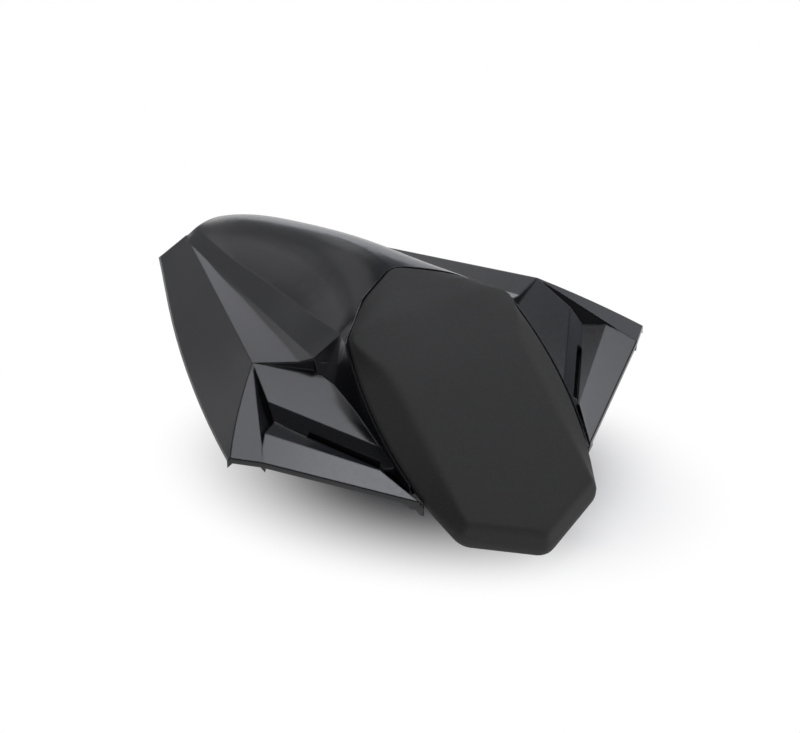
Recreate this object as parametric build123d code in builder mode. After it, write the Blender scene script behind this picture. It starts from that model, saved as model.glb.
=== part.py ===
from build123d import *
import math
import os

os.makedirs("parts", exist_ok=True)

# Seat cowl. Millimetres, Z up, X across the bike, pad facing -Y, tail at +Y.
# Z = 0 is the plane under the rubber feet, X = 0 the plane of symmetry.

# Driving dimensions
skin = 3.0
tip = (140.0, -94.0, 62.0)
edge_lip = 2.0
tip_drop = 8.0
corner_r = 12.0
tail_y = 198.0
tail_crown = 46.9
tail_half = 44.9
tail_low = 27.7
pad_rise = 7.8
pad_inset = 10.0
pad_gap = 0.8
rim = 1.0
pad_bow = 4.5
bed_depth = 5.0
plate = 2.5
clear = 0.2
bed_inset = 9.0
bed_run = 10.0
pad_proud = 0.8
deck_lift = 3.0
tower_r = 5.0
screw_r = 2.0
screw_head = 4.5
screw_reach = 9.0
towers = ((46.0, -25.0), (40.0, 45.0), (33.0, 115.0))
stud_r = 2.5
stud_spots = ((-25.0, -25.0), (25.0, -25.0), (-25.0, -105.0), (25.0, -105.0))
stud_flange = (6.0, 1.2)
stud_tail = 7.0
plate_inset = 2.0
nut_flats = 8.0
nut_flange = (5.6, 1.2)
nut_height = 5.0
tray_floor = 4.0
tray_wall = 2.5
tray_front = (40.0, -70.0)
tray_waist = (40.0, -10.0)
tray_rear = (25.0, 135.0)
tray_round = 8.0
flange_out = 12.0
rib_height = 12.0
rib_wall = 2.0
rib_stations = (-36.0, 8.0, 104.0)
rib_x = 14.0
tongue_x = 22.0
tongue_size = (20.0, 30.0, 4.0)
tongue_z = 10.0
hook = 3.0
well_y = 62.0
well_size = (52.0, 44.0)
well_rise = 20.0
foot_r = 9.0
foot_stem = 4.0
foot_bulb = 5.0
feet = ((-30.0, -56.0), (30.0, -56.0), (-16.0, 118.0), (16.0, 118.0))
drains = ((0.0, -52.0), (0.0, 25.0))
drain_r = 3.0
strike_clear = 0.5
strike_edge = 5.0
strike_plate = (well_size[0] - 2 * (tray_wall + strike_clear), 16.0, 2.5)
strike_x = strike_plate[0] / 2 - strike_edge
strike_screw_r = 2.0
strike_boss = 8.0
head_height = 3.0
loop_r = 3.0
loop_clear = 1.5
loop_half = strike_x - screw_head - loop_r - loop_clear
loop_drop = 11.0
over = 20.0
sky = 160.0

# Corners of the facets on the +X side
spear = (29.0, 180.6, 42.3)
peak = (97.0, -43.0, 84.2)
blade_in = (76.0, -56.0, 85.0)
ridge_end = (67.5, -61.4, 87.4)
slot_top = (102.5, -70.8, 75.6)
slot_in = (58.5, -126.5, 59.6)
slot_low = (104.5, -81.5, 68.4)
lip_in = (66.0, -130.5, 55.6)
ledge = (115.0, -90.5, 69.5)
ledge_in = (64.5, -133.5, 51.4)
notch = (120.0, -97.2, 66.0)
tip_front = (125.3, -107.6, 61.4)
front_in = (55.5, -158.0, 40.0)
groove_depth = 6.0
slit_width = 2.4
slit_depth = 4.5
slit_start = -97.0
channel_depth = 6.0
pad_rear = (0.0, -34.0, 113.6)
pad_shoulder = (52.8, -74.4, 100.2)
pad_side = (58.8, -127.0)
pad_low = (44.9, -181.3, 25.2)
pad_front = (0.0, -199.1, 12.7)


def lift(point, height):
    return (point[0], point[1], point[2] + height)


def along(a, b, y):
    """Point of the straight line a-b at the given y."""
    share = (y - a[1]) / (b[1] - a[1])
    return tuple(p + share * (q - p) for p, q in zip(a, b))


def toward(a, b, share):
    """Point of the straight line a-b at that share of its length."""
    return tuple(p + share * (q - p) for p, q in zip(a, b))


def bowed(a, b, bow):
    """Middle of the line a-b in plan, pushed out to its left by the bow."""
    run = (Vector(*b[:2]) - Vector(*a[:2])).normalized()
    return (a[0] + b[0]) / 2 - run.Y * bow, (a[1] + b[1]) / 2 + run.X * bow


def facet(a, b, c):
    """Plane through three corners with its normal upwards."""
    across = Vector(*b) - Vector(*a)
    normal = across.cross(Vector(*c) - Vector(*a))
    if normal.Z < 0:
        normal = normal * -1
    return Plane(origin=a, x_dir=across, z_dir=normal)


blade = facet(spear, peak, blade_in)
tab = facet(peak, slot_top, slot_in)
corner = facet(peak, lift(tip, edge_lip), lift(tip_front, edge_lip))
groove = facet(peak, notch, lift(slot_low, -groove_depth))
slot = facet(slot_top, slot_in, slot_low)
shelf = facet(slot_low, ledge, ledge_in)
chin = facet(ledge, lift(tip_front, edge_lip), lift(front_in, edge_lip))
channel = facet(lift(ledge_in, -channel_depth), front_in, (0.0, *front_in[1:]))
rear_rim = facet((0.0, pad_rear[1], pad_rear[2]), pad_shoulder, (-pad_shoulder[0], *pad_shoulder[1:]))
bed_x = Vector(1, 0, 0)
bed_slope = Vector(0, pad_shoulder[1] - pad_low[1], pad_shoulder[2] - pad_low[2])
front_rim = Plane(origin=(0.0, *pad_shoulder[1:]), x_dir=bed_x, z_dir=bed_x.cross(bed_slope))
bed_angle = math.atan2(bed_slope.Z, bed_slope.Y)
bed_under = (bed_depth + skin + clear) / math.cos(bed_angle)
ring_end = front_in[1] + bed_run


def under_bed(y):
    """Height of the underside of the bed."""
    return pad_shoulder[2] + (y - pad_shoulder[1]) * math.tan(bed_angle) - bed_under


# Lower edge of the flank: (y, x) of its gentle bow, z on a straight fall to the tail
flank = (
    (tail_y, tail_half), (104.0, 80.5), (23.5, 108.0), (-36.4, 125.6), (tip[1], tip[0]), (-170.0, 152.0),
)
flank_fall = (tip[2] - tail_low) / (tail_y - tip[1])


def flank_z(y):
    return tip[2] - flank_fall * (y - tip[1])


# Joint between the tray and the towers: a plane that falls with the flanks, just above their edge
deck = Plane(origin=(0.0, 0.0, flank_z(0.0) + deck_lift), x_dir=(1, 0, 0), z_dir=(0, flank_fall, 1))


# Plan outline of the pad: an elongated hexagon with bowed sides and soft corners
with BuildSketch() as pad_plan:
    with BuildLine():
        Polyline(pad_rear[:2], bowed(pad_rear, pad_shoulder, pad_bow), pad_shoulder[:2])
        ThreePointArc(pad_shoulder[:2], pad_side, pad_low[:2])
        Line(pad_low[:2], pad_front[:2])
        mirror(about=Plane.YZ)
    make_face()
    fillet(pad_plan.vertices(), radius=corner_r)


# The same outline drawn on the sloping bed: x across, y up the slope from the shoulders
rise_y = (pad_rear[1] - pad_shoulder[1]) * math.cos(bed_angle)
pad_top = (0.0, rise_y + (pad_rear[2] - pad_shoulder[2]) * math.sin(bed_angle))
bed_shoulder = (pad_shoulder[0], 0.0)
bed_side = (pad_side[0], (pad_side[1] - pad_shoulder[1]) / math.cos(bed_angle))
bed_low = (pad_low[0], (pad_low[1] - pad_shoulder[1]) / math.cos(bed_angle))
bed_front = (0.0, (pad_front[1] - pad_shoulder[1]) / math.cos(bed_angle))
with BuildSketch() as pad_face:
    with BuildLine():
        Polyline(pad_top, bowed(pad_top, bed_shoulder, pad_bow), bed_shoulder)
        ThreePointArc(bed_shoulder, bed_side, bed_low)
        Line(bed_low, bed_front)
        mirror(about=Plane.YZ)
    make_face()
    fillet(pad_face.vertices(), radius=corner_r)

# Outline of the pad's bevelled top, carried on past the rear edge, which has no bevel
with BuildSketch() as pad_crest:
    with BuildLine():
        Line((0, 2 * pad_top[1]), (pad_shoulder[0], 2 * pad_top[1]))
        Line((pad_shoulder[0], 2 * pad_top[1]), bed_shoulder)
        ThreePointArc(bed_shoulder, bed_side, bed_low)
        Line(bed_low, bed_front)
        mirror(about=Plane.YZ)
    make_face()
    fillet(pad_crest.vertices().filter_by(lambda v: v.Y < bed_low[1] + 1), radius=corner_r)


def above(outline, face, inset):
    """Space over a facet: its outline in plan, grown by the inset, down to its plane moved in by it."""
    with BuildPart() as space:
        with BuildSketch(Plane.XY):
            with BuildLine():
                Polyline(*[point[:2] for point in outline], close=True)
            make_face()
            if inset:
                offset(amount=inset, kind=Kind.INTERSECTION)
        extrude(amount=sky)
        split(bisect_by=face.offset(-inset), keep=Keep.TOP)
    return space.part


# Outlines of the facets in plan; where one ends under the hump or past an edge its side is carried on
tab_in = toward(slot_top, slot_in, 1.3)
wall_in = toward(peak, ridge_end, 1.8)
brow = toward(notch, tip_front, 2.0)
far = tip[0] + 3 * over
front_far = toward(ledge_in, front_in, 1.8)
gutter = (front_in[0] - over, front_far[1] - over)
facets = (
    ((peak, slot_top, tab_in, wall_in), tab),
    ((slot_top, slot_low, lip_in, ledge_in, tab_in), slot),
    ((slot_low, ledge, ledge_in, lip_in), shelf),
    ((ledge, notch, brow, (brow[0], front_far[1]), front_far, ledge_in), chin),
    ((peak, slot_top, slot_low, ledge, notch), groove),
    ((peak, notch, brow, (far, brow[1]), (far, 0.0)), corner),
    ((tab_in, toward(ledge_in, ledge, 0.03), front_far, gutter), channel),
)
# Slit in the slot, along its lip
slit_from = along(slot_low, lip_in, slit_start)
slit_run = (Vector(*lip_in[:2]) - Vector(*slit_from[:2])).normalized()
slit_side = Vector(slit_run.Y, -slit_run.X) * slit_width
slit = (
    slit_from, lip_in, (lip_in[0] + slit_side.X, lip_in[1] + slit_side.Y),
    (slit_from[0] + slit_side.X, slit_from[1] + slit_side.Y),
)


def wing(inset):
    """One wing on the +X side, its faces moved inwards by the inset."""
    with BuildPart() as body:
        for station, x in flank:
            y = min(station, tail_y - inset)
            crease = along(spear, peak, y)
            edge = Vector(x, flank_z(y))
            climb = Vector(crease[0], crease[2]) - edge
            shift = Vector(climb.Y, -climb.X).normalized() * -inset
            low = edge + shift - climb
            high = edge + shift + climb * 2
            with BuildSketch(Plane.XZ.offset(-y)):
                with BuildLine():
                    Polyline((low.X, low.Y), (high.X, high.Y), (-tip[0], high.Y), (-tip[0], low.Y),
                             close=True)
                make_face()
        loft()
        split(bisect_by=blade.offset(-inset), keep=Keep.BOTTOM)
    with BuildPart() as cut:
        add(body.part)
        for outline, face in facets:
            add(above(outline, face, inset), mode=Mode.SUBTRACT)
        add(above(slit, slot.offset(-slit_depth), inset), mode=Mode.SUBTRACT)
        with BuildSketch(Plane.XY):
            add(pad_plan.sketch)
            offset(amount=pad_gap + (rim if inset else 0.0))
        extrude(amount=sky, mode=Mode.SUBTRACT)
        if not inset:
            ahead = 2 * pad_front[1]
            with BuildSketch(Plane.XY):
                with BuildLine():
                    Polyline((far, tip[1]), tip[:2], tip_front[:2], front_in[:2], (-far, front_in[1]),
                             (-far, ahead), (far, ahead), close=True)
                make_face()
            extrude(amount=sky, mode=Mode.SUBTRACT)
    return cut.part


# Sections of the hump: y, crown height, soft crease (x, z) and slope there, ridge (x, z) over the blade
def ridge_at(y):
    x, _, z = along(spear, ridge_end, y)
    return x, z


sections = (
    (tail_y, tail_crown, 16.0, 42.9, 0.5, 27.0, 36.0),
    (spear[1], 55.4, 19.4, 46.7, 0.9, spear[0] - 0.5, spear[2] + 0.3),
    (162.0, 63.6, 22.5, 50.5, 1.2, *ridge_at(162.0)),
    (133.0, 74.6, 27.0, 56.5, 1.4, *ridge_at(133.0)),
    (78.0, 92.5, 33.5, 68.0, 1.4, *ridge_at(78.0)),
    (21.0, 108.0, 39.5, 79.5, 1.4, *ridge_at(21.0)),
    (-9.0, 113.0, 43.0, 85.0, 1.4, *ridge_at(-9.0)),
    (pad_rear[1], 114.6, 46.5, 91.0, 1.3, *ridge_at(pad_rear[1])),
    (ridge_end[1], 113.2, 50.0, 98.0, 1.05, *ridge_at(ridge_end[1])),
)
# Front flanks of the hump: y, crown height, rim corner (x, z) and slope there, foot (x, z)
cheeks = (
    (ridge_end[1], 113.2, 50.0, 98.0, 1.05, ridge_end[0], ridge_end[2]),
    (-65.6, 112.6, 51.6, 98.4, 0.95, 66.8, 76.0),
    (pad_shoulder[1], 111.0, 54.6, 99.0, 0.8, 63.0, 73.0),
    (-96.0, 106.0, 58.6, 88.0, 0.6, 61.0, 66.0),
    (-124.0, 100.0, 60.8, 68.0, 0.5, 61.2, 57.0),
)
# Crown of the pad: the hump carried on forwards, rolling over into the sloping face
pad_rows = (
    (-9.0, 113.0, 43.0, 85.0, 1.4),
    (pad_rear[1], 114.6, 46.5, 91.0, 1.3),
    (ridge_end[1], 111.6, 50.0, 98.0, 1.05),
    (pad_shoulder[1], 107.2, 54.6, 99.4, 0.75),
    (-95.0, 97.0, 60.0, 91.0, 0.4),
    (-130.0, 82.0, 62.0, 76.0, 0.3),
    (pad_front[1] - over, 40.0, 62.0, 34.0, 0.3),
)


def crown_line(crown, x, z, slope):
    """Control points of a section from the crown to a corner, level at the crown."""
    return (0, crown), (x / 3, crown), (x * 2 / 3, z + slope * x / 3), (x, z)


def hump(inset):
    """Right half of the hump, its faces moved inwards by the inset."""
    drop = bed_depth + inset if inset else 0.0
    with BuildPart() as body:
        for station, crown, x, z, slope, ridge_x, ridge_z in sections:
            y = min(station, tail_y - inset)
            points = crown_line(crown - 1.2 * inset, x, z - 1.2 * inset, slope)
            ridge = Vector(ridge_x - 0.3 * inset, ridge_z - 1.1 * inset)
            trough = along(spear, blade_in, station)
            reach = max(trough[0] - ridge_x, 0.0) * 1.15 + 1.5
            fall = min(trough[2] - ridge_z, 0.0) * 1.15 - 1.0
            toe = ridge + Vector(reach, fall)
            with BuildSketch(Plane.XZ.offset(-y)):
                with BuildLine():
                    Bezier(*points)
                    Polyline(points[-1], ridge, toe, (toe.X, 0), (0, 0), points[0])
                make_face()
        loft()
        add(above((peak, ridge_end, (ridge_end[0], -sky), (far, -sky)), Plane.XY, inset), mode=Mode.SUBTRACT)
    with BuildPart() as front:
        for y, crown, x, z, slope, foot_x, foot_z in cheeks:
            points = crown_line(crown - 1.2 * inset, x - inset, z - inset, slope)
            with BuildSketch(Plane.XZ.offset(-y)):
                with BuildLine():
                    Bezier(*points)
                    Polyline(points[-1], (foot_x - inset, foot_z), (foot_x - inset, 0), (0, 0), points[0])
                make_face()
        loft(ruled=True)
    with BuildPart() as bed:
        with BuildSketch(Plane.XY):
            add(pad_plan.sketch)
            offset(amount=pad_gap + rim - inset)
        extrude(amount=sky)
        split(bisect_by=Plane.XZ.offset(-ring_end - inset), keep=Keep.BOTTOM)
        with BuildSketch(Plane.XY):
            add(pad_plan.sketch)
            offset(amount=-bed_inset - inset)
        extrude(amount=sky)
        split(bisect_by=rear_rim.offset(-drop), keep=Keep.BOTTOM)
    with BuildPart() as whole:
        add(body.part)
        add(front.part)
        add(bed.part)
        split(bisect_by=front_rim.offset(-drop), keep=Keep.BOTTOM)
        if inset:
            with BuildPart(mode=Mode.PRIVATE) as pocket:
                with BuildSketch(Plane.XY):
                    add(pad_plan.sketch)
                    offset(amount=pad_gap + inset)
                extrude(amount=sky)
                split(bisect_by=rear_rim.offset(-drop), keep=Keep.TOP)
            add(pocket.part, mode=Mode.SUBTRACT)
    return whole.part


wing_outer = wing(0.0)
wing_inner = wing(skin)
hump_outer = hump(0.0)
hump_inner = hump(skin)

with BuildPart() as cowl_shell:
    add(hump_outer)
    add(wing_outer)
    split(bisect_by=Plane.YZ, keep=Keep.TOP)
    with BuildSketch(Plane.YZ):
        with BuildLine():
            Polyline(
                (tail_y + over, flank_z(tail_y + over)), (tip[1], tip[2]), (tip[1], tip[2] - tip_drop),
                (ring_end, under_bed(ring_end)), (pad_front[1] - over, under_bed(pad_front[1] - over)),
                (pad_front[1] - over, -sky), (tail_y + over, -sky), close=True,
            )
        make_face()
    extrude(amount=far, both=True, mode=Mode.SUBTRACT)
    add(hump_inner, mode=Mode.SUBTRACT)
    add(wing_inner, mode=Mode.SUBTRACT)
    for floor in (rear_rim.offset(-bed_depth), front_rim.offset(-bed_depth)):
        with BuildPart(mode=Mode.PRIVATE) as recess:
            with BuildSketch(front_rim):
                add(pad_face.sketch)
                offset(amount=pad_gap)
            extrude(amount=40, both=True)
            split(bisect_by=floor, keep=Keep.TOP)
        add(recess.part, mode=Mode.SUBTRACT)
    for x, y in towers:
        with BuildPart(mode=Mode.PRIVATE) as tower:
            with BuildSketch(deck):
                with Locations((x, y)):
                    Circle(tower_r)
            extrude(amount=90)
            add(hump_outer, mode=Mode.INTERSECT)
        add(tower.part)
        with BuildSketch(deck):
            with Locations((x, y)):
                Circle(screw_r + 0.05)
        extrude(amount=screw_reach + 2, mode=Mode.SUBTRACT)
    split(bisect_by=Plane.YZ, keep=Keep.TOP)
    mirror(about=Plane.YZ)
    for x, y in stud_spots:
        with BuildSketch(front_rim.offset(-bed_depth)):
            with Locations((x, y)):
                Circle(stud_r + 0.5)
        extrude(amount=-2 * skin, mode=Mode.SUBTRACT)
cowl_shell.part.label = "cowl_shell"
export_step(cowl_shell.part, "parts/cowl_shell.step")


# Moulded pad: domed top flush with the hump, sloping main face, bevelled sides and front
with BuildPart() as pad_dome:
    for y, crown, x, z, slope in pad_rows:
        points = crown_line(crown + pad_proud, x, z + pad_proud, slope)
        side = x + over
        with BuildSketch(Plane.XZ.offset(-y)):
            with BuildLine():
                Bezier(*points)
                Polyline(points[-1], (side, points[-1][1] - slope * over), (side, 0), (0, 0), points[0])
            make_face()
    loft()
    split(bisect_by=Plane.YZ, keep=Keep.TOP)
    mirror(about=Plane.YZ)
with BuildPart() as seat_pad:
    with BuildSketch(front_rim):
        add(pad_face.sketch)
    extrude(amount=40, both=True)
    with BuildPart(mode=Mode.PRIVATE) as crest:
        with BuildSketch(front_rim):
            add(pad_crest.sketch)
        with BuildSketch(front_rim.offset(pad_rise)):
            add(pad_crest.sketch)
            offset(amount=-pad_inset)
        loft()
        with BuildSketch(front_rim):
            add(pad_crest.sketch)
        extrude(amount=-50)
    add(crest.part, mode=Mode.INTERSECT)
    add(pad_dome.part, mode=Mode.INTERSECT)
    with BuildPart(mode=Mode.PRIVATE) as below:
        with BuildSketch(front_rim):
            add(pad_face.sketch)
            offset(amount=5)
        extrude(amount=60, both=True)
        split(bisect_by=rear_rim.offset(plate - bed_depth), keep=Keep.BOTTOM)
        split(bisect_by=front_rim.offset(plate - bed_depth), keep=Keep.BOTTOM)
    add(below.part, mode=Mode.SUBTRACT)
seat_pad.part.label = "seat_pad"
export_step(seat_pad.part, "parts/seat_pad.step")

# Backing plate of the pad, on the floor of the bed
with BuildPart() as pad_plate:
    with BuildSketch(front_rim):
        add(pad_face.sketch)
        offset(amount=-plate_inset)
    extrude(amount=60, both=True)
    split(bisect_by=rear_rim.offset(plate - bed_depth), keep=Keep.BOTTOM)
    split(bisect_by=front_rim.offset(plate - bed_depth), keep=Keep.BOTTOM)
    with BuildPart(mode=Mode.PRIVATE) as bed_floor:
        with BuildSketch(front_rim):
            add(pad_face.sketch)
            offset(amount=5)
        extrude(amount=70, both=True)
        split(bisect_by=rear_rim.offset(-bed_depth), keep=Keep.BOTTOM)
        split(bisect_by=front_rim.offset(-bed_depth), keep=Keep.BOTTOM)
    add(bed_floor.part, mode=Mode.SUBTRACT)
    with BuildSketch(front_rim.offset(plate - bed_depth)):
        with Locations(*stud_spots):
            Circle(stud_flange[0])
    extrude(amount=-stud_flange[1], mode=Mode.SUBTRACT)
    with BuildSketch(front_rim):
        with Locations(*stud_spots):
            Circle(stud_r)
    extrude(amount=-2 * bed_depth, mode=Mode.SUBTRACT)
pad_plate.part.label = "pad_plate"
export_step(pad_plate.part, "parts/pad_plate.step")

# Studs moulded into the plate, with their flanges under the pad
with BuildPart() as pad_studs:
    with BuildSketch(front_rim.offset(plate - bed_depth)):
        with Locations(*stud_spots):
            Circle(stud_flange[0])
    extrude(amount=-stud_flange[1])
    with BuildSketch(front_rim.offset(plate - bed_depth)):
        with Locations(*stud_spots):
            Circle(stud_r)
    extrude(amount=-(plate + skin + stud_tail))
pad_studs.part.label = "pad_studs"
export_step(pad_studs.part, "parts/pad_studs.step")

# Flange nuts drawn up against the underside of the bed
with BuildPart() as pad_nuts:
    with BuildSketch(front_rim.offset(-bed_depth - skin)):
        with Locations(*stud_spots):
            Circle(nut_flange[0])
    extrude(amount=-nut_flange[1])
    with BuildSketch(front_rim.offset(-bed_depth - skin)):
        with Locations(*stud_spots):
            RegularPolygon(radius=nut_flats / 2, side_count=6, major_radius=False)
    extrude(amount=-nut_height)
    with BuildSketch(front_rim.offset(-bed_depth - skin)):
        with Locations(*stud_spots):
            Circle(stud_r)
    extrude(amount=-nut_height, mode=Mode.SUBTRACT)
pad_nuts.part.label = "pad_nuts"
export_step(pad_nuts.part, "parts/pad_nuts.step")

# Lower tray: pan with ribs, flange, latch well and two front tongues
with BuildSketch() as tray_plan:
    with BuildLine():
        Polyline((0, tray_front[1]), tray_front, tray_waist, tray_rear, (0, tray_rear[1]))
        mirror(about=Plane.YZ)
    make_face()
    fillet(tray_plan.vertices(), radius=tray_round)
screw_spots = tuple((side * x, y) for x, y in towers for side in (-1, 1))
strike_spots = ((-strike_x, well_y), (strike_x, well_y))
ceiling = tray_floor + well_rise - tray_wall
with BuildPart() as base_tray:
    with BuildSketch(Plane.XY.offset(tray_floor)):
        add(tray_plan.sketch)
    extrude(amount=100)
    split(bisect_by=deck, keep=Keep.BOTTOM)
    with BuildSketch(deck.offset(-tray_wall)):
        add(tray_plan.sketch)
        offset(amount=flange_out)
    extrude(amount=tray_wall)
    with BuildSketch(Plane.XY.offset(tray_floor + tray_wall)):
        add(tray_plan.sketch)
        offset(amount=-tray_wall)
    extrude(amount=100, mode=Mode.SUBTRACT)
    for y in rib_stations:
        with BuildSketch(Plane.XY.offset(tray_floor)):
            add(tray_plan.sketch)
            with Locations((0, y)):
                Rectangle(200, rib_wall, mode=Mode.INTERSECT)
        extrude(amount=tray_wall + rib_height)
    with BuildSketch(Plane.XY.offset(tray_floor)):
        with Locations((-rib_x, -15), (rib_x, -15)):
            Rectangle(rib_wall, 108)
    extrude(amount=tray_wall + rib_height)
    with BuildSketch(Plane.XY.offset(tray_floor)):
        with Locations((0, well_y)):
            Rectangle(*well_size)
    extrude(amount=well_rise)
    with BuildSketch(Plane.XY.offset(ceiling)):
        with Locations(*strike_spots):
            Circle(tower_r)
    extrude(amount=tray_wall + strike_boss)
    with BuildSketch(Plane.XY.offset(tray_floor)):
        with Locations((0, well_y)):
            Rectangle(well_size[0] - 2 * tray_wall, well_size[1] - 2 * tray_wall)
    extrude(amount=well_rise - tray_wall, mode=Mode.SUBTRACT)
    with BuildSketch(Plane.XY.offset(ceiling)):
        with Locations(*strike_spots):
            Circle(strike_screw_r + 0.05)
    extrude(amount=tray_wall + strike_boss - 1, mode=Mode.SUBTRACT)
    with BuildSketch(Plane.XY.offset(tongue_z)):
        with Locations((-tongue_x, tray_front[1]), (tongue_x, tray_front[1])):
            Rectangle(tongue_size[0], tongue_size[1], align=(Align.CENTER, Align.MAX))
    extrude(amount=tongue_size[2])
    tongue_end = tray_front[1] - tongue_size[1]
    with BuildSketch(Plane.XY.offset(tongue_z)):
        with Locations((-tongue_x, tongue_end), (tongue_x, tongue_end)):
            Rectangle(tongue_size[0], hook, align=(Align.CENTER, Align.MIN))
    extrude(amount=tongue_size[2] + hook)
    with BuildSketch(deck):
        with Locations(*screw_spots):
            Circle(screw_r + clear)
    extrude(amount=-2 * tray_wall, mode=Mode.SUBTRACT)
    with BuildSketch(Plane.XY):
        with Locations(*feet):
            Circle(foot_stem)
        with Locations(*drains):
            Circle(drain_r)
    extrude(amount=tray_floor + tray_wall, mode=Mode.SUBTRACT)
base_tray.part.label = "base_tray"
export_step(base_tray.part, "parts/base_tray.step")

# Screws from below through the flange into the towers of the shell
with BuildPart() as tray_screws:
    with BuildSketch(deck.offset(-tray_wall - head_height)):
        with Locations(*screw_spots):
            Circle(screw_head)
    extrude(amount=head_height)
    with BuildSketch(deck.offset(-tray_wall)):
        with Locations(*screw_spots):
            Circle(screw_r)
    extrude(amount=tray_wall + screw_reach)
tray_screws.part.label = "tray_screws"
export_step(tray_screws.part, "parts/tray_screws.step")

# Striker: bent rod on a plate, hanging in the well of the tray
with BuildPart() as latch_striker:
    with BuildSketch(Plane.XY.offset(ceiling)):
        with Locations((0, well_y)):
            RectangleRounded(strike_plate[0], strike_plate[1], 4)
        with Locations(*strike_spots):
            Circle(strike_screw_r + clear, mode=Mode.SUBTRACT)
    extrude(amount=-strike_plate[2])
    hang = ceiling - strike_plate[2]
    with BuildLine(Plane.XZ.offset(-well_y)) as bend:
        rod = Polyline((-loop_half, hang), (-loop_half, hang - loop_drop),
                       (loop_half, hang - loop_drop), (loop_half, hang))
        fillet(rod.vertices().filter_by(lambda v: v.Z < hang - 1), radius=5)
    with BuildSketch(Plane.XY.offset(hang)):
        with Locations((-loop_half, well_y)):
            Circle(loop_r)
    sweep(path=bend.wires()[0])
latch_striker.part.label = "latch_striker"
export_step(latch_striker.part, "parts/latch_striker.step")

# Screws of the striker plate
with BuildPart() as striker_screws:
    with BuildSketch(Plane.XY.offset(hang - head_height)):
        with Locations(*strike_spots):
            Circle(screw_head)
    extrude(amount=head_height)
    with BuildSketch(Plane.XY.offset(hang)):
        with Locations(*strike_spots):
            Circle(strike_screw_r)
    extrude(amount=strike_plate[2] + tray_wall + strike_boss - 3)
striker_screws.part.label = "striker_screws"
export_step(striker_screws.part, "parts/striker_screws.step")

# Rubber feet pushed into the tray floor
with BuildPart() as tray_buffers:
    with BuildSketch(Plane.XY):
        with Locations(*feet):
            Circle(foot_r)
    extrude(amount=tray_floor)
    with BuildSketch(Plane.XY.offset(tray_floor)):
        with Locations(*feet):
            Circle(foot_stem)
    extrude(amount=tray_wall)
    with BuildSketch(Plane.XY.offset(tray_floor + tray_wall)):
        with Locations(*feet):
            Circle(foot_bulb)
    extrude(amount=2.5)
tray_buffers.part.label = "tray_buffers"
export_step(tray_buffers.part, "parts/tray_buffers.step")
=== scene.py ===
import math

import bpy
import numpy as np
from mathutils import Matrix, Vector


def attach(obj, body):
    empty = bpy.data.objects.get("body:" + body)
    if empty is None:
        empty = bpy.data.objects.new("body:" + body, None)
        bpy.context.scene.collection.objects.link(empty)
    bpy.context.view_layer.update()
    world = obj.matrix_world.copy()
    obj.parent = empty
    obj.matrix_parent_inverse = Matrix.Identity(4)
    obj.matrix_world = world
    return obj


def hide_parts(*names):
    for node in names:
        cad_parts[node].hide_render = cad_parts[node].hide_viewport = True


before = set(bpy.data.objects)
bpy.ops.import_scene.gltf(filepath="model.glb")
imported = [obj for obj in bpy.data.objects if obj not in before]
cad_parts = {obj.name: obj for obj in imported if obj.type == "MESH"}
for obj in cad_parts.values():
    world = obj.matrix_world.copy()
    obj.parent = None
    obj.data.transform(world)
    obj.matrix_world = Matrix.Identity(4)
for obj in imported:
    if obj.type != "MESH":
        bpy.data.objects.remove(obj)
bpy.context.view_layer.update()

# Cowl shell: one injection moulding in ABS with a rounded hump and faceted wings.
# It is sprayed gloss black over a dark flake, so its faces show the studio as soft grey panels,
# and the paint rounds its edges a little.
FLAKE_SCALE = 2600.0
FLAKE_DARK = (0.0092, 0.0095, 0.0112, 1)
FLAKE_LIGHT = (0.0155, 0.016, 0.019, 1)
COAT_ROUGH = (0.18, 0.22)
PEEL_SCALE = 420.0
PEEL_RELIEF = (0.012, 0.0004)
EDGE_ROUND = 0.0014
EDGE_SAMPLES = 8
NOISE_SPAN = (0.3, 0.7)


def finish(name):
    """A new material, its nodes, its links and its shader."""
    material = bpy.data.materials.new(name)
    material.use_nodes = True
    nodes = material.node_tree.nodes
    return material, nodes, material.node_tree.links, nodes["Principled BSDF"]


def grain(nodes, links, scale, detail=2.0):
    """Noise in the object's own space."""
    place = nodes.new("ShaderNodeTexCoord")
    noise = nodes.new("ShaderNodeTexNoise")
    noise.inputs["Scale"].default_value = scale
    noise.inputs["Detail"].default_value = detail
    links.new(place.outputs["Object"], noise.inputs["Vector"])
    return noise.outputs["Fac"]


def tint(nodes, links, fac, dark, light, target):
    """Colour that runs from dark to light with the noise."""
    ramp = nodes.new("ShaderNodeValToRGB")
    for stop, position, colour in zip(ramp.color_ramp.elements, NOISE_SPAN, (dark, light)):
        stop.position = position
        stop.color = colour
    links.new(fac, ramp.inputs["Fac"])
    links.new(ramp.outputs["Color"], target)


def vary(nodes, links, fac, limits, target):
    """Value that runs between two limits with the noise."""
    span = nodes.new("ShaderNodeMapRange")
    span.inputs["From Min"].default_value = NOISE_SPAN[0]
    span.inputs["From Max"].default_value = NOISE_SPAN[1]
    span.inputs["To Min"].default_value = limits[0]
    span.inputs["To Max"].default_value = limits[1]
    links.new(fac, span.inputs["Value"])
    links.new(span.outputs["Result"], target)


def relief(nodes, links, fac, depth, target):
    """Fine relief that follows the noise; depth is its strength and its distance."""
    bump = nodes.new("ShaderNodeBump")
    bump.inputs["Strength"].default_value = depth[0]
    bump.inputs["Distance"].default_value = depth[1]
    links.new(fac, bump.inputs["Height"])
    links.new(bump.outputs["Normal"], target)
    return bump


def wear(node, material):
    """The CAD node keeps its shape and gets the finish."""
    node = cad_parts[node]
    node.data.materials.clear()
    node.data.materials.append(material)


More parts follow.
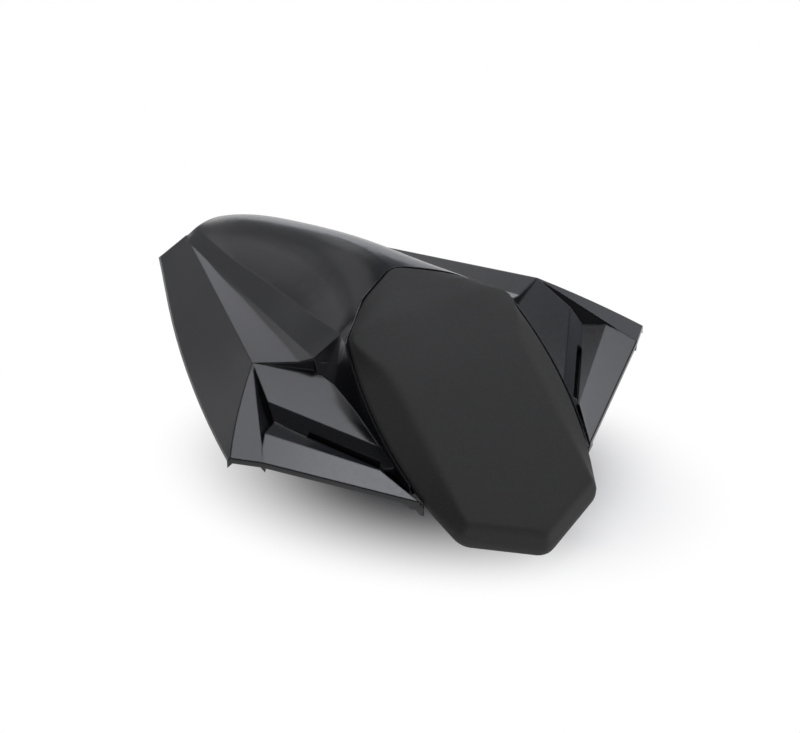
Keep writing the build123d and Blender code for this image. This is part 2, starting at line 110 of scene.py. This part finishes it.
paint, nodes, links, coat = finish("gloss_black_paint")
tint(nodes, links, grain(nodes, links, FLAKE_SCALE), FLAKE_DARK, FLAKE_LIGHT, coat.inputs["Base Color"])
peel = grain(nodes, links, PEEL_SCALE)
vary(nodes, links, peel, COAT_ROUGH, coat.inputs["Roughness"])
edge = nodes.new("ShaderNodeBevel")
edge.samples = EDGE_SAMPLES
edge.inputs["Radius"].default_value = EDGE_ROUND
ripple = relief(nodes, links, peel, PEEL_RELIEF, coat.inputs["Normal"])
links.new(edge.outputs["Normal"], ripple.inputs["Normal"])
wear("cowl_shell", paint)

# Seat pad: polyurethane foam moulded in its own matt skin, bonded to the backing plate.
# Its top is flush with the hump, rolls over into the sloping back rest, and is bevelled at the
# sides and at the front. Its sizes are in mm, on the bed: x across, y up the slope.
BED_ORIGIN = np.array((0.0, -74.4, 100.2))
BED_FALL = (181.3 - 74.4, 100.2 - 25.2)
REAR = (0.0, 40.8)
REAR_SIDE = (29.15, 24.0)
SHOULDER = (52.8, 0.0)
SIDE = (58.8, -64.2)
LOW = (44.9, -130.5)
FRONT = (0.0, -152.3)
CORNER_R = 12.0
REAR_SIDE_R = 60.0
REAR_R = 9.0
ARC_STEPS = 10
REAR_SIDE_STEPS = 8
BOW_STEPS = 40
BOW_TRIM = 6
BOW_AIM = 8
OUTLINE_POINTS = 220
PAD_SPREAD = 0.4
PAD_RISE = 8.8
PAD_CROWN = 0.6
CROWN_HALF = 62.0
PAD_PROUD = 0.7
FACE_HALF = ((-130.0, 41.5), (-26.0, 41.5), (0.0, 53.0))
FLANK_SPAN = (-131.0, 1.0)
REAR_FROM = -6.0
FRONT_BEVEL = 7.8
LEAST_BEVEL = 1.5
BEVEL_LIP = 0.6
UNBEVELLED = 99.0
ROUND_OVER = 1.4
SHOULDER_BLEND = 7.0
BEVEL_BLEND = 1.4
PAD_FOOT = -2.4
LEAST_WALL = 1.5
REAR_WALL = 4.2
SOLE_INSET = 0.03
PAD_MIDDLE = np.array((0.0, -50.0))
RINGS = ((0.0, 0.06, 6), (0.08, 0.40, 17), (0.46, 0.96, 9))
# Hump carried on over the pad: y, crown height, corner (x, z) and slope there, in the row frame
CROWN_ROWS = (
    (-9.0, 113.0, 43.0, 85.0, 1.4),
    (-34.0, 114.6, 46.5, 91.0, 1.3),
    (-61.4, 111.6, 50.0, 99.0, 1.0),
    (-74.4, 107.4, 54.6, 101.8, 0.6),
    (-95.0, 97.4, 60.0, 93.6, 0.3),
    (-130.0, 82.0, 62.0, 77.0, 0.3),
    (-220.0, 40.0, 62.0, 34.0, 0.3),
)
SETTLE_START = -12.0
SETTLE_STEPS = 12
SETTLE_SHARE = 0.8
SKIN_SCALE = 900.0
SKIN_DARK = (0.027, 0.0268, 0.0255, 1)
SKIN_LIGHT = (0.033, 0.0328, 0.0312, 1)
SKIN_ROUGH = (0.62, 0.74)
PORE_SCALE = 2400.0
PORE_RELIEF = (0.12, 0.0002)
bed_angle = math.atan2(BED_FALL[1], BED_FALL[0])
slope_up = np.array((0.0, math.cos(bed_angle), math.sin(bed_angle)))
slope_out = np.array((0.0, -math.sin(bed_angle), math.cos(bed_angle)))


def corner_round(a, b, c, radius, steps):
    """Points of the arc that rounds the corner b between a and c."""
    a, b, c = (np.array(p, float) for p in (a, b, c))
    u = (a - b) / np.linalg.norm(a - b)
    v = (c - b) / np.linalg.norm(c - b)
    half = math.acos(np.clip(u @ v, -1, 1)) / 2
    reach = radius / math.tan(half)
    middle = (u + v) / np.linalg.norm(u + v)
    centre = b + middle * (radius / math.sin(half))
    start, end = b + u * reach - centre, b + v * reach - centre
    turn = math.atan2(start[0] * end[1] - start[1] * end[0], start @ end)
    angles = np.linspace(0, turn, steps)
    return [centre + np.array((start[0] * math.cos(t) - start[1] * math.sin(t),
                               start[0] * math.sin(t) + start[1] * math.cos(t))) for t in angles]


def circle_through(a, b, c):
    """Centre and radius of the circle through three points."""
    a, b, c = (np.array(p, float) for p in (a, b, c))
    squares = np.array((a @ a, b @ b, c @ c))
    rises = np.array((b[1] - c[1], c[1] - a[1], a[1] - b[1]))
    runs = np.array((c[0] - b[0], a[0] - c[0], b[0] - a[0]))
    twice = 2 * (np.array((a[0], b[0], c[0])) @ rises)
    centre = np.array((squares @ rises, squares @ runs)) / twice
    return centre, np.linalg.norm(a - centre)


def pad_outline(count):
    """Closed outline of the pad on its bed, counter-clockwise from the front corner."""
    hub, radius = circle_through(SHOULDER, SIDE, LOW)
    first = math.atan2(LOW[1] - hub[1], LOW[0] - hub[0])
    last = math.atan2(SHOULDER[1] - hub[1], SHOULDER[0] - hub[0])
    angles = np.linspace(first, last, BOW_STEPS)
    bow = [hub + radius * np.array((math.cos(t), math.sin(t))) for t in angles]
    half = [FRONT]
    half += corner_round(FRONT, LOW, bow[BOW_AIM], CORNER_R, ARC_STEPS)
    half += bow[BOW_TRIM:-BOW_TRIM]
    half += corner_round(bow[-BOW_AIM], SHOULDER, REAR_SIDE, CORNER_R, ARC_STEPS)
    half += corner_round(SHOULDER, REAR_SIDE, REAR, REAR_SIDE_R, REAR_SIDE_STEPS)
    half += [REAR]
    half = np.array(half, float)
    other = half[::-1] * np.array((-1, 1))
    loop = np.vstack((half, other[1:-1]))
    loop = np.vstack((corner_round(loop[-1], loop[0], loop[1], CORNER_R, ARC_STEPS), loop[1:]))
    top = int(np.argmax(loop[:, 1]))
    rear = corner_round(loop[top - 1], loop[top], loop[(top + 1) % len(loop)], REAR_R, ARC_STEPS)
    loop = np.vstack((loop[:top], rear, loop[top + 1:]))
    ring = np.vstack((loop, loop[:1]))
    run = np.concatenate(((0,), np.cumsum(np.linalg.norm(np.diff(ring, axis=0), axis=1))))
    even = np.linspace(0, run[-1], count, endpoint=False)
    loop = np.stack((np.interp(even, run, ring[:, 0]), np.interp(even, run, ring[:, 1])), axis=1)
    ahead = np.roll(loop, -1, axis=0) - np.roll(loop, 1, axis=0)
    out = np.stack((ahead[:, 1], -ahead[:, 0]), axis=1)
    return loop + PAD_SPREAD * out / np.linalg.norm(out, axis=1)[:, None]


def unbroken(points):
    """The points in their order round the outline, from one end of the run to the other."""
    steps = np.linalg.norm(np.diff(np.vstack((points, points[:1])), axis=0), axis=1)
    return np.roll(points, -int(np.argmax(steps)) - 1, axis=0)


def crown_height(x, y):
    """Height of the hump's crown carried on over the pad."""
    rows = np.array(CROWN_ROWS)[::-1]
    crown, corner, z, slope = (np.interp(y, rows[:, 0], rows[:, k]) for k in (1, 2, 3, 4))
    inside = np.minimum(np.abs(x) / corner, 1.0)
    rest = 1 - inside
    knee = z + slope * corner / 3
    curve = crown * rest ** 2 * (1 + 2 * inside) + 3 * knee * rest * inside ** 2 + z * inside ** 3
    return curve - slope * np.maximum(np.abs(x) - corner, 0.0)


def edge_gap(points, line):
    """Distance of each point to a polyline."""
    best = np.full(len(points), np.inf)
    for a, b in zip(line[:-1], line[1:]):
        run = b - a
        share = np.clip(((points - a) @ run) / max(run @ run, 1e-12), 0, 1)
        best = np.minimum(best, np.linalg.norm(points - a - share[:, None] * run, axis=1))
    return best


def soft_min(a, b, width):
    """Smaller of two heights, with a rounded change from one to the other."""
    blend = np.clip(0.5 + 0.5 * (b - a) / width, 0, 1)
    return b * (1 - blend) + a * blend - width * blend * (1 - blend)


def on_bed(points, heights):
    """Metres in the row frame of points on the bed at those heights over it."""
    place = BED_ORIGIN + np.outer(points[:, 1], slope_up) + np.outer(heights, slope_out)
    place[:, 0] = points[:, 0]
    return place / 1000


# Rings of points from the outline to the middle
outline = pad_outline(OUTLINE_POINTS)
shares = np.concatenate([np.linspace(*ring) for ring in RINGS])
flat = np.vstack([outline + (PAD_MIDDLE - outline) * s for s in shares] + [PAD_MIDDLE[None, :]])
across, along = np.abs(flat[:, 0]), flat[:, 1]
# Slightly crowned main face, and the side and front bevels that bound it
rise = PAD_RISE + PAD_CROWN * np.clip(1 - (across / CROWN_HALF) ** 2, 0, 1)
flank = outline[(outline[:, 0] > 0) & (outline[:, 1] > FLANK_SPAN[0]) & (outline[:, 1] < FLANK_SPAN[1])]
flank = flank[np.argsort(flank[:, 1])]
brim = np.interp(along, flank[:, 1], flank[:, 0])
face = np.interp(along, *zip(*FACE_HALF))
side = PAD_RISE * (brim - across) / np.maximum(brim - face, LEAST_BEVEL)
side = np.where(along > SHOULDER[1], UNBEVELLED, side)
lean = np.array(LOW) - np.array(FRONT)
lean = lean / np.linalg.norm(lean)
front = (PAD_RISE / FRONT_BEVEL) * ((along - FRONT[1]) * lean[0] - across * lean[1])
bevel = BEVEL_LIP + np.minimum(side, front)
# Height over the bed at which the sloping normal meets the hump's crown
height = np.full(len(flat), SETTLE_START)
for _ in range(SETTLE_STEPS):
    y = BED_ORIGIN[1] + along * slope_up[1] + height * slope_out[1]
    z = BED_ORIGIN[2] + along * slope_up[2] + height * slope_out[2]
    height += (crown_height(across, y) + PAD_PROUD - z) * SETTLE_SHARE
top = soft_min(soft_min(rise, height, SHOULDER_BLEND), bevel, BEVEL_BLEND)
# Small round along the whole edge
front_run = unbroken(outline[outline[:, 1] < FLANK_SPAN[1]])
rear_run = unbroken(outline[outline[:, 1] > REAR_FROM])
near = np.minimum(edge_gap(flat, front_run), edge_gap(flat, rear_run))
roll = np.clip(ROUND_OVER - near, 0, None)
top -= ROUND_OVER - np.sqrt(np.maximum(ROUND_OVER ** 2 - roll ** 2, 0))
# Wall down to the foot, and the sole
count = len(outline)
foot = np.minimum(top[:count] - LEAST_WALL, PAD_FOOT)
foot = np.where(outline[:, 1] > REAR_FROM, top[:count] - REAR_WALL, foot)
sole_loop = outline + (PAD_MIDDLE - outline) * SOLE_INSET
verts = np.vstack((on_bed(flat, top), on_bed(outline, foot), on_bed(sole_loop, foot),
                   on_bed(PAD_MIDDLE[None, :], np.array((PAD_FOOT,)))))
rings = len(shares)
hub = rings * count
wall, sole = hub + 1, hub + 1 + count
faces = []
for k in range(count):
    n = (k + 1) % count
    for r in range(rings - 1):
        faces.append((r * count + k, r * count + n, (r + 1) * count + n, (r + 1) * count + k))
    faces.append(((rings - 1) * count + k, (rings - 1) * count + n, hub))
    faces.append((k, wall + k, wall + n, n))
    faces.append((wall + k, sole + k, sole + n, wall + n))
    faces.append((sole + k, len(verts) - 1, sole + n))
mesh = bpy.data.meshes.new("seat_pad_cushion")
mesh.from_pydata([tuple(v) for v in verts], [], faces)
mesh.polygons.foreach_set("use_smooth", [True] * len(mesh.polygons))
cushion = bpy.data.objects.new("seat_pad_cushion", mesh)
bpy.context.collection.objects.link(cushion)
skin, nodes, links, matt = finish("matt_pad_skin")
tint(nodes, links, grain(nodes, links, SKIN_SCALE), SKIN_DARK, SKIN_LIGHT, matt.inputs["Base Color"])
pores = grain(nodes, links, PORE_SCALE, 3.0)
vary(nodes, links, pores, SKIN_ROUGH, matt.inputs["Roughness"])
relief(nodes, links, pores, PORE_RELIEF, matt.inputs["Normal"])
mesh.materials.append(skin)
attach(cushion, "root")
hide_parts("seat_pad")

# Backing plate and lower tray: satin black mouldings in filled polypropylene with a fine spark
# texture. The plate is drawn down on the bed by its studs; the tray is screwed up to the towers.
SATIN_SCALE = 700.0
SATIN_DARK = (0.019, 0.019, 0.02, 1)
SATIN_LIGHT = (0.025, 0.025, 0.026, 1)
SATIN_ROUGH = (0.42, 0.56)
SPARK_SCALE = 3200.0
SPARK_RELIEF = (0.15, 0.00015)
satin, nodes, links, plastic = finish("satin_black_moulding")
tint(nodes, links, grain(nodes, links, SATIN_SCALE), SATIN_DARK, SATIN_LIGHT, plastic.inputs["Base Color"])
spark = grain(nodes, links, SPARK_SCALE, 3.0)
vary(nodes, links, spark, SATIN_ROUGH, plastic.inputs["Roughness"])
relief(nodes, links, spark, SPARK_RELIEF, plastic.inputs["Normal"])
wear("pad_plate", satin)
wear("base_tray", satin)

# Studs, nuts, screws and the latch striker: steel, cold headed or bent from rod, zinc plated.
# The plating is bright, with a faint mottle and fine scuffs from the tools.
MOTTLE_SCALE = 240.0
ZINC_DARK = (0.56, 0.56, 0.54, 1)
ZINC_LIGHT = (0.66, 0.66, 0.65, 1)
SCUFF_SCALE = 1500.0
ZINC_ROUGH = (0.24, 0.38)
zinc, nodes, links, plating = finish("bright_zinc_plating")
plating.inputs["Metallic"].default_value = 1.0
mottle = grain(nodes, links, MOTTLE_SCALE, 4.0)
tint(nodes, links, mottle, ZINC_DARK, ZINC_LIGHT, plating.inputs["Base Color"])
vary(nodes, links, grain(nodes, links, SCUFF_SCALE, 4.0), ZINC_ROUGH, plating.inputs["Roughness"])
for piece in ("pad_studs", "pad_nuts", "tray_screws", "latch_striker", "striker_screws"):
    wear(piece, zinc)

# Feet: four moulded rubber buffers pushed through holes in the tray floor, under the object's weight.
# Plain matt black rubber with a slight bloom.
BLOOM_SCALE = 500.0
RUBBER_DARK = (0.017, 0.017, 0.017, 1)
RUBBER_LIGHT = (0.026, 0.026, 0.0255, 1)
RUBBER_SCALE = 1800.0
RUBBER_ROUGH = (0.72, 0.86)
rubber, nodes, links, matt = finish("matt_black_rubber")
bloom = grain(nodes, links, BLOOM_SCALE, 3.0)
tint(nodes, links, bloom, RUBBER_DARK, RUBBER_LIGHT, matt.inputs["Base Color"])
vary(nodes, links, grain(nodes, links, RUBBER_SCALE), RUBBER_ROUGH, matt.inputs["Roughness"])
wear("tray_buffers", rubber)

# Floor: a white paper sweep that takes the soft shadow under the object. Round that shadow the camera
# sees plain white paper, and the gloss paint mirrors most of it.
FLOOR_HALF = 1.3
PAPER = (0.97, 0.97, 0.97, 1)
PAPER_ROUGH = 0.95
SHADOW_CENTRE = (0.0024, -0.0834)
SHADOW_HALF = (0.0965, 0.142)
SHADOW_TURN = 0.76
SHADOW_FADE = (0.342, 1.272)
MIRRORED = 0.75
bpy.ops.mesh.primitive_plane_add(size=2 * FLOOR_HALF)
floor = bpy.context.object
floor.name = "floor"
paper, nodes, links, sheet = finish("white_paper")
sheet.inputs["Roughness"].default_value = PAPER_ROUGH
sheet.inputs["Specular IOR Level"].default_value = 0.0
sheet.inputs["Base Color"].default_value = PAPER
place = nodes.new("ShaderNodeTexCoord")
oval = nodes.new("ShaderNodeMapping")
oval.vector_type = "TEXTURE"
oval.inputs["Location"].default_value = (*SHADOW_CENTRE, 0)
oval.inputs["Rotation"].default_value = (0, 0, SHADOW_TURN)
oval.inputs["Scale"].default_value = (*SHADOW_HALF, 1)
links.new(place.outputs["Object"], oval.inputs["Vector"])
reach = nodes.new("ShaderNodeVectorMath")
reach.operation = "LENGTH"
links.new(oval.outputs["Vector"], reach.inputs[0])
fade = nodes.new("ShaderNodeMapRange")
fade.interpolation_type = "SMOOTHSTEP"
fade.inputs["From Min"].default_value = SHADOW_FADE[0]
fade.inputs["From Max"].default_value = SHADOW_FADE[1]
links.new(reach.outputs["Value"], fade.inputs["Value"])
path = nodes.new("ShaderNodeLightPath")
seen = nodes.new("ShaderNodeMath")
seen.operation = "MULTIPLY_ADD"
links.new(path.outputs["Is Glossy Ray"], seen.inputs[0])
seen.inputs[1].default_value = MIRRORED
links.new(path.outputs["Is Camera Ray"], seen.inputs[2])
share = nodes.new("ShaderNodeMath")
share.operation = "MULTIPLY"
links.new(fade.outputs["Result"], share.inputs[0])
links.new(seen.outputs["Value"], share.inputs[1])
white = nodes.new("ShaderNodeEmission")
white.inputs["Color"].default_value = (1, 1, 1, 1)
mix = nodes.new("ShaderNodeMixShader")
links.new(share.outputs["Value"], mix.inputs["Fac"])
links.new(sheet.outputs["BSDF"], mix.inputs[1])
links.new(white.outputs["Emission"], mix.inputs[2])
links.new(mix.outputs["Shader"], nodes["Material Output"].inputs["Surface"])
floor.data.materials.append(paper)

# Light: a strip softbox above with a bright core, a weak panel at the rear right, and a wide fill from
# the side that the gloss paint does not mirror. The room is grey at the horizon and dark overhead, with a
# low slanted board behind the object and soft patches of light that the hump's flank mirrors.
ACROSS = Vector((0.8553, -0.5181, 0.0))
AWAY = Vector((0.5181, 0.8553, 0.0))
UP = Vector((0, 0, 1))
ROOM_TINT = (0.98, 0.99, 1.06)
LAMP_TINT = (0.98, 0.99, 1.05)
# Brightness of the room from the horizon up, and of the board from its foot up
ROOM = ((0.0, 0.19), (0.26, 0.26), (0.62, 0.09), (1.0, 0.07))
BOARD = ((0.0, 0.8), (0.238, 1.1), (0.262, 0.24), (0.30, 0.17), (0.37, 0.03), (1.0, 0.0))
BOARD_TILT = 178
# Turn and rise of each patch, its core and its edge in degrees, and its brightness
BOARD_WIDTH = (88, 0, 16, 24, 1.0)
PATCHES = (
    (119, 29, 8.0, 15.0, 0.36),
    (133.5, 5.5, 3.5, 7.5, 0.31),
    (129, 12.5, 3.0, 7.0, 0.24),
    (102, 16, 3.0, 9.0, 0.4),
)
world = bpy.data.worlds.new("studio")
bpy.context.scene.world = world
world.use_nodes = True
nodes = world.node_tree.nodes
links = world.node_tree.links
place = nodes.new("ShaderNodeTexCoord")


def heading(turn, rise):
    """Unit vector that far round from the right of the picture towards its back, and that far up."""
    turn, rise = math.radians(turn), math.radians(rise)
    level = ACROSS * math.cos(turn) + AWAY * math.sin(turn)
    return level * math.cos(rise) + UP * math.sin(rise)


def along_way(way):
    """Share of the ray's direction that lies along that way."""
    facing = nodes.new("ShaderNodeVectorMath")
    facing.operation = "DOT_PRODUCT"
    facing.inputs[1].default_value = way
    links.new(place.outputs["Generated"], facing.inputs[0])
    return facing.outputs["Value"]


def shade(fac, stops, interpolation):
    """Grey of the room that runs through those stops."""
    ramp = nodes.new("ShaderNodeValToRGB")
    ramp.color_ramp.interpolation = interpolation
    for position, _ in stops[1:-1]:
        ramp.color_ramp.elements.new(position)
    for stop, (_, value) in zip(ramp.color_ramp.elements, stops):
        stop.color = (*(value * part for part in ROOM_TINT), 1)
    links.new(fac, ramp.inputs["Fac"])
    return ramp.outputs["Color"]


def patch(turn, rise, core, rim, level):
    """Round soft patch of light in that direction."""
    card = nodes.new("ShaderNodeMapRange")
    card.interpolation_type = "SMOOTHSTEP"
    card.inputs["From Min"].default_value = math.cos(math.radians(rim))
    card.inputs["From Max"].default_value = math.cos(math.radians(core))
    card.inputs["To Max"].default_value = level
    links.new(along_way(heading(turn, rise)), card.inputs["Value"])
    return card.outputs["Result"]


def plus(a, b):
    """Sum of two lights."""
    total = nodes.new("ShaderNodeVectorMath")
    links.new(a, total.inputs[0])
    links.new(b, total.inputs[1])
    return total.outputs["Vector"]


board = nodes.new("ShaderNodeVectorMath")
board.operation = "SCALE"
links.new(shade(along_way(heading(BOARD_TILT, 0) + UP), BOARD, "EASE"), board.inputs[0])
links.new(patch(*BOARD_WIDTH), board.inputs["Scale"])
light = plus(shade(along_way(UP), ROOM, "LINEAR"), board.outputs["Vector"])
for spot in PATCHES:
    light = plus(light, patch(*spot))
path = nodes.new("ShaderNodeLightPath")
shown = nodes.new("ShaderNodeMix")
shown.data_type = "RGBA"
links.new(path.outputs["Is Camera Ray"], shown.inputs["Factor"])
links.new(light, shown.inputs["A"])
shown.inputs["B"].default_value = (1, 1, 1, 1)
links.new(shown.outputs["Result"], nodes["Background"].inputs["Color"])


def stand(centre, side, back):
    """Placing of a lamp or camera that looks away from its back."""
    turn = Matrix((side, back.cross(side), back)).transposed()
    return Matrix.Translation(centre) @ turn.to_4x4()


def softbox(name, centre, aim, width, depth, radiance):
    """Rectangular lamp of that even brightness, turned to its aim."""
    lamp = bpy.data.lights.new(name, "AREA")
    lamp.shape = "RECTANGLE"
    lamp.size = width
    lamp.size_y = depth
    lamp.energy = radiance * width * depth * math.pi
    lamp.color = LAMP_TINT
    piece = bpy.data.objects.new(name, lamp)
    bpy.context.collection.objects.link(piece)
    back = (Vector(centre) - Vector(aim)).normalized()
    piece.matrix_world = stand(centre, AWAY.cross(back).normalized(), back)
    piece.visible_camera = False
    return piece


def above(across, away, height):
    """Point that far to the right, to the back and up in the picture."""
    return tuple(ACROSS * across + AWAY * away + UP * height)


softbox("strip", above(0.14, 0.24, 1.0), above(0.14, 0.24, 0.0), 1.0, 0.5, 2.6)
softbox("rear_right", above(1.0, 1.3, 1.0), (0.0, 0.0, 0.05), 1.7, 0.5, 0.9)
softbox("core", above(0.345, 0.25, 0.98), above(0.345, 0.25, 0.0), 0.19, 0.26, 2.2)
fill = softbox("fill", above(1.7, -0.2, 1.0), (0.0, 0.0, 0.0), 1.4, 1.4, 2.7)
fill.visible_glossy = False

# Camera: the photograph's standpoint, in front of the pad, to its right side and above.
# A long lens, so the far wing is only a little smaller than the near one.
AZIMUTH = math.radians(-31.2035)
ELEVATION = math.radians(31.0)
EYE = (-0.5256, -0.9108, 0.6613)
LENS = 90.0
SENSOR = 36.0
right = Vector((math.cos(AZIMUTH), math.sin(AZIMUTH), 0.0))
level = Vector((math.sin(AZIMUTH), -math.cos(AZIMUTH), 0.0))
back = level * math.cos(ELEVATION) + UP * math.sin(ELEVATION)
camera = bpy.data.objects.new("camera", bpy.data.cameras.new("camera"))
camera.data.lens = LENS
camera.data.sensor_width = SENSOR
camera.matrix_world = stand(EYE, right, back)
bpy.context.collection.objects.link(camera)
bpy.context.scene.camera = camera
bpy.context.scene.view_settings.view_transform = "Standard"
